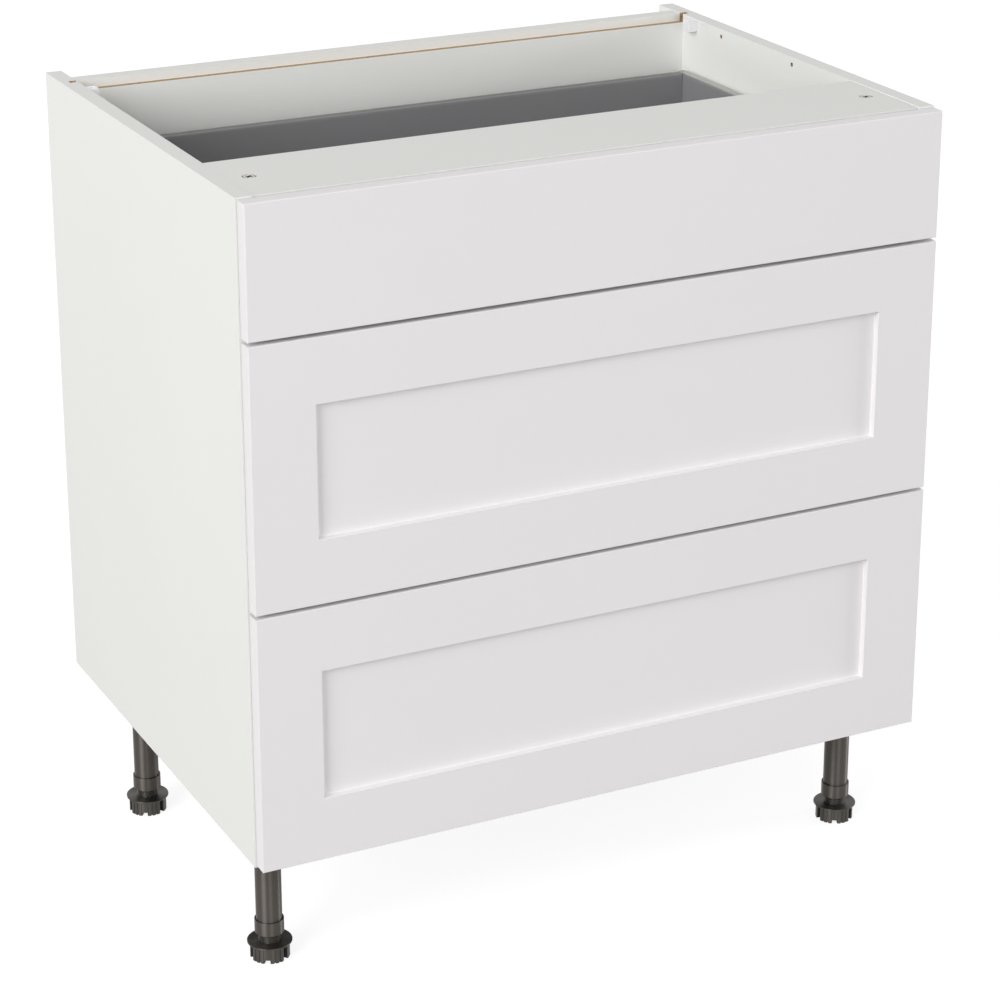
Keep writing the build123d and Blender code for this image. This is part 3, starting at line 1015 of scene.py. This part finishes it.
footShape = {
    "stemRadius": 12.2,
    "threadDepth": 1.15,
    "threadPitch": 2.75,
    "threadFoot": 0.36,  # half width of the thread at its foot, as a share of the pitch
    "threadFlank": 0.16,
    "rowsPerPitch": 9,
    "stemCount": 60,
    "stemLap": 1,
    "flangeRadius": 24.5,
    "flangeThickness": 2.0,
    # Steps outwards from the stem or from the rim, and up from the top of the flange
    "flangeInner": ((-2, 0.4), (0.2, 0.4), (0.9, 0)),
    "flangeOuter": ((-1.6, 0), (-1.2, -0.1), (-0.35, -0.1), (0, -0.5)),
    "flangeEdge": 0.4,
    "flangeCount": 96,
    "ringRadius": 21.5,
    "ringWall": 5.4,
    "ringHeight": 17.5,
    "fluteTurn": 15,
    "fluteShare": 0.28,
    "fluteDepth": 0.55,
    "toothDepth": 0.8,
    "slotWidth": 5.6,
    "slotTurns": (60, 180, 300),
    "notchWidth": 6.2,
    "notchHeight": 4.0,
    "notchTurns": (0, 120, 240),
    "panelWidth": 8.2,  # shallow flat over each notch
    "panelDepth": 0.5,
    "stationTurn": 0.75,
}


def threadRadius(z, turn):
    s = footShape
    phase = (z / s["threadPitch"] - turn / (2 * math.pi)) % 1
    crest = min(max((s["threadFoot"] - abs(phase - 0.5)) / s["threadFlank"], 0), 1)
    return s["stemRadius"] - s["threadDepth"] * (1 - crest)


def addStem(shape, start, end):
    s = footShape
    rows = round((end - start) / s["threadPitch"] * s["rowsPerPitch"])
    turns = [2 * math.pi * i / s["stemCount"] for i in range(s["stemCount"])]
    rings = []
    for row in range(rows + 1):
        z = start + (end - start) * row / rows
        ring = []
        for turn in turns:
            radius = threadRadius(z, turn)
            ring.append((radius * math.cos(turn) * mm, radius * math.sin(turn) * mm, z * mm))
        rings.append(ring)
    addRings(shape, rings)


def addFlange(shape, low):
    s = footShape
    high = low + s["flangeThickness"]
    rim, edge = s["flangeRadius"], s["flangeEdge"]
    section = [(s["stemRadius"] + across, high + up) for across, up in s["flangeInner"]]
    section += [(rim + across, high + up) for across, up in s["flangeOuter"]]
    section += [(rim, low + edge), (rim - edge, low), (section[0][0], low)]
    rings = [circle(radius * mm, z * mm, s["flangeCount"]) for radius, z in section]
    addRings(shape, rings, capEnds=False, closeLoop=True)


def turnBetween(turn, middle):
    return abs((turn - middle + 180) % 360 - 180)


# Outer radius and lower edge of the ring at one turn
def ringSection(turn):
    s = footShape
    radius, low = s["ringRadius"], 0
    flute = (turn / s["fluteTurn"] + 0.5) % 1
    if abs(flute - 0.5) > 0.5 - s["fluteShare"] / 2:
        radius -= s["fluteDepth"]
        low = s["toothDepth"]
    nearest = min(turnBetween(turn, notch) for notch in s["notchTurns"])
    if nearest < math.degrees(s["panelWidth"] / 2 / s["ringRadius"]):
        radius = s["ringRadius"] - s["panelDepth"]
        low = 0
    if nearest < math.degrees(s["notchWidth"] / 2 / s["ringRadius"]):
        low = s["notchHeight"]
    return radius, low


def addRing(shape):
    s = footShape
    half = math.degrees(s["slotWidth"] / 2 / s["ringRadius"])
    inner = s["ringRadius"] - s["ringWall"]
    for slotTurn in s["slotTurns"]:
        span = 360 / len(s["slotTurns"]) - 2 * half
        count = round(span / s["stationTurn"])
        rings = []
        for i in range(count + 1):
            turn = slotTurn + half + span * i / count
            radius, low = ringSection(turn)
            along = Vector((math.cos(math.radians(turn)), math.sin(math.radians(turn)), 0))
            up = Vector((0, 0, 1))
            top = s["ringHeight"]
            corners = ((radius, low), (radius, top), (inner, top), (inner, low))
            rings.append([(along * r + up * z) * mm for r, z in corners])
        # Only the outside of the ring is in the outer finish; every other face of the ring is painted
        # dark as shade
        for i, face in enumerate(addRings(shape, rings)):
            face.material_index = 0 if i % 4 == 0 and i < 4 * count else 1


legs = [(row, side) for row in ("front", "rear") for side in sides]
screws = bmesh.new()
for row, sideName in legs:
    label = f"{row}_{sideName}"
    side = sides[sideName]
    low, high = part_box("leg_tube_" + label)
    centre = ((low.x + high.x) / 2, (low.y + high.y) / 2)
    shape = bmesh.new()
    addTube(shape, centre, low.z, high.z)
    finishPiece(
        "legTube_" + label,
        shape,
        [surface["legPlastic"]],
        "carcass",
        ["leg_tube_" + label],
    )
    low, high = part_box("leg_socket_" + label)
    shape = bmesh.new()
    addSocket(shape, centre, side, low.z, high.z)
    finishPiece(
        "legSocket_" + label,
        shape,
        [surface["footPlastic"]],
        "carcass",
        ["leg_socket_" + label],
    )
    plateX = centre[0] - side * socketShape["plateShift"] * mm
    screwZ = high.z - socketShape["plate"] * mm - socketShape["screwProud"] * mm
    for across in (-socketShape["screwHalfX"], socketShape["screwHalfX"]):
        for along in (-socketShape["screwHalfY"], socketShape["screwHalfY"]):
            spot = (plateX + across * mm, centre[1] + along * mm, screwZ)
            addScrew(screws, Matrix.Translation(spot) @ Matrix.Rotation(math.pi, 4, "X"))
    low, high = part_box("foot_" + label)
    shape = bmesh.new()
    addRing(shape)
    addFlange(shape, footShape["ringHeight"])
    addStem(shape, footShape["ringHeight"] + footShape["stemLap"], high.z / mm)
    bmesh.ops.translate(shape, verts=shape.verts, vec=(*centre, 0))
    finishPiece(
        "footScrew_" + label,
        shape,
        [surface["footPlastic"], surface["footInsidePaintedShade"]],
        "foot_" + label,
        ["foot_" + label],
        sharpAngle=40,
    )
finishPiece("socketScrews", screws, screwFinishes, "carcass")
print("legs made")


studio = {
    "floorSize": 60,
    "floorColor": (0.3, 0.3, 0.3, 1),
    "floorGlow": 0.84,
    "worldLevel": 0.48,
    "aimHeight": 0.45,
    "distance": 12,
}
# Heading from the front towards the right, and rise, in degrees; then width and height, and level
lamps = {
    "key": (-62, 24, (6, 7), 0.7),
    "frontStrip": (-7, 6, (5, 3), 0.18),
    "rightStrip": (76, 6, (3.4, 4), 0.38),
    "back": (-162, 4, (4, 4), 0.22),
}


# 1 for rays that see the background itself: camera, glossy and transmission rays
def seenRays(tree):
    path = addNode(tree, "LightPath").outputs
    first = {0: path["Is Camera Ray"], 1: path["Is Glossy Ray"]}
    seen = addNode(tree, "Math", first, operation="MAXIMUM")
    last = {0: seen.outputs[0], 1: path["Is Transmission Ray"]}
    return addNode(tree, "Math", last, operation="MAXIMUM").outputs[0]


half = studio["floorSize"] / 2
corners = ((-half, -half), (half, -half), (half, half), (-half, half))
shape = bmesh.new()
shape.faces.new([shape.verts.new((x, y, 0)) for x, y in corners])
mesh = bpy.data.meshes.new("floor")
shape.to_mesh(mesh)
shape.free()
floor = bpy.data.objects.new("floor", mesh)
bpy.context.scene.collection.objects.link(floor)
paper = bpy.data.materials.new("floorPaper")
paper.use_nodes = True
tree = paper.node_tree
shader = tree.nodes["Principled BSDF"]
shader.inputs["Base Color"].default_value = studio["floorColor"]
shader.inputs["Roughness"].default_value = 1
shader.inputs["Specular IOR Level"].default_value = 0
shader.inputs["Emission Color"].default_value = (1, 1, 1, 1)
glow = addNode(tree, "Math", {0: seenRays(tree), 1: studio["floorGlow"]}, operation="MULTIPLY")
tree.links.new(glow.outputs[0], shader.inputs["Emission Strength"])
mesh.materials.append(paper)

world = bpy.data.worlds.new("studio")
bpy.context.scene.world = world
world.use_nodes = True
tree = world.node_tree
light = tree.nodes["Background"]
light.inputs["Color"].default_value = (1, 1, 1, 1)
light.inputs["Strength"].default_value = studio["worldLevel"]
white = addNode(tree, "Background", {"Color": (1, 1, 1, 1), "Strength": 1})
mixed = addNode(tree, "MixShader", {0: seenRays(tree), 1: light.outputs[0], 2: white.outputs[0]})
tree.links.new(mixed.outputs[0], tree.nodes["World Output"].inputs["Surface"])


# A soft lamp whose level is the share of white that it gives a surface facing it
def addLamp(name, heading, rise, size, level):
    distance = studio["distance"]
    lamp = bpy.data.lights.new(name, "AREA")
    lamp.shape = "RECTANGLE"
    lamp.size, lamp.size_y = size
    lamp.energy = level * math.pi**2 * distance**2
    aim = Vector((0, 0, studio["aimHeight"]))
    heading, rise = math.radians(heading), math.radians(rise)
    flat = math.cos(rise)
    away = Vector((math.sin(heading) * flat, -math.cos(heading) * flat, math.sin(rise)))
    holder = bpy.data.objects.new(name, lamp)
    holder.location = aim + away * distance
    holder.rotation_euler = away.to_track_quat("Z", "Y").to_euler()
    bpy.context.scene.collection.objects.link(holder)


for name, place in lamps.items():
    addLamp(name, *place)

cameraShape = {
    "place": (-1.41005, -2.86689, 1.66472),
    "heading": 26.496,
    "dip": 19.8306,
    "lens": 108.534,
    "sensor": 36,
    "shiftY": -0.1,
    "reach": 200,
}
lens = bpy.data.cameras.new("camera")
lens.lens = cameraShape["lens"]
lens.sensor_width = cameraShape["sensor"]
lens.shift_y = cameraShape["shiftY"]
lens.clip_end = cameraShape["reach"]
camera = bpy.data.objects.new("camera", lens)
camera.location = cameraShape["place"]
camera.rotation_euler = (
    math.radians(90 - cameraShape["dip"]),
    0,
    math.radians(-cameraShape["heading"]),
)
bpy.context.scene.collection.objects.link(camera)
bpy.context.scene.camera = camera
bpy.context.scene.view_settings.view_transform = "Standard"
print("studio set")
